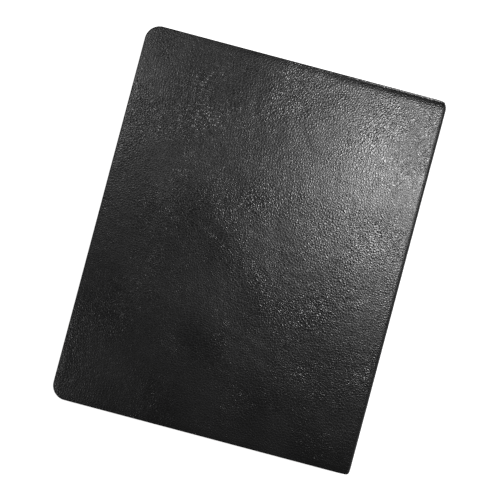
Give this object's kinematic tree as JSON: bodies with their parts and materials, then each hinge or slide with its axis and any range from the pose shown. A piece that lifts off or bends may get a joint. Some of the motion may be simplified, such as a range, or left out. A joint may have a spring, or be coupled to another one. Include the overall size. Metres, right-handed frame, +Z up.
{
  "type": "leather notebook",
  "caption": "Thin flexible leather-covered notebook with rounded fore-edge corners; it opens flat in the middle and its upper cover opens alone.",
  "frame": {"origin": "centre of the closed notebook's lower face", "axes": "+Z up through the thickness from the lower cover to the upper cover, +Y towards the head, +X towards the spine"},
  "size_m": [0.2038, 0.254, 0.0167],
  "materials": {
    "leather": "semi-gloss creased grain",
    "board": "matte",
    "page_paper": "matte",
    "endpaper": "matte",
    "thread": "waxed linen",
    "gauze": "open weave",
    "kraft": "matte",
    "headband": "striped woven cotton"
  },
  "bodies": {
    "lower_cover": {"lower_cover_leather": "leather", "lower_cover_board": "board", "lower_cover_infill": "board", "lower_pastedown": "endpaper", "lower_flyleaf": "endpaper", "section_01": "page_paper", "section_02": "page_paper", "section_03": "page_paper", "section_04": "page_paper", "section_05": "page_paper", "section_06": "page_paper", "section_07_lower_half": "page_paper", "sewing_thread_lower": "thread", "spine_gauze_lower": "gauze", "spine_lining_lower": "kraft", "headband_lower": "headband", "tailband_lower": "headband"},
    "text_upper": {"section_07_upper_half": "page_paper", "section_08": "page_paper", "section_09": "page_paper", "section_10": "page_paper", "section_11": "page_paper", "section_12": "page_paper", "section_13": "page_paper", "upper_flyleaf": "endpaper", "sewing_thread_upper": "thread", "spine_gauze_upper": "gauze", "spine_lining_upper": "kraft", "headband_upper": "headband", "tailband_upper": "headband"},
    "spine": {"spine_leather": "leather", "spine_board": "board"},
    "upper_joint": {"upper_joint_leather": "leather"},
    "upper_cover": {"upper_cover_leather": "leather", "upper_cover_board": "board", "upper_cover_infill": "board", "upper_pastedown": "endpaper"}
  },
  "joints": [
    {"name": "book_open", "type": "hinge", "parent": "lower_cover", "child": "text_upper", "pos_m": [0.1, 0, 0.00835], "axis": [0, 1, 0], "range_deg": [0, 179.6]},
    {"name": "spine_fold", "type": "hinge", "parent": "lower_cover", "child": "spine", "pos_m": [0.10086, 0, 0.00104], "axis": [0, 1, 0], "range_deg": [0, 90]},
    {"name": "joint_fold", "type": "hinge", "parent": "spine", "child": "upper_joint", "pos_m": [0.10086, 0, 0.01566], "axis": [0, 1, 0], "range_deg": [0, 90]},
    {"name": "cover_open", "type": "hinge", "parent": "upper_joint", "child": "upper_cover", "pos_m": [0.0987, 0, 0.0168], "axis": [0, 1, 0], "range_deg": [0, 178]}
  ],
  "couplings": [
    {"joint": "spine_fold", "follows": "book_open", "ratio": 0.5},
    {"joint": "joint_fold", "follows": "book_open", "ratio": 0.5}
  ]
}
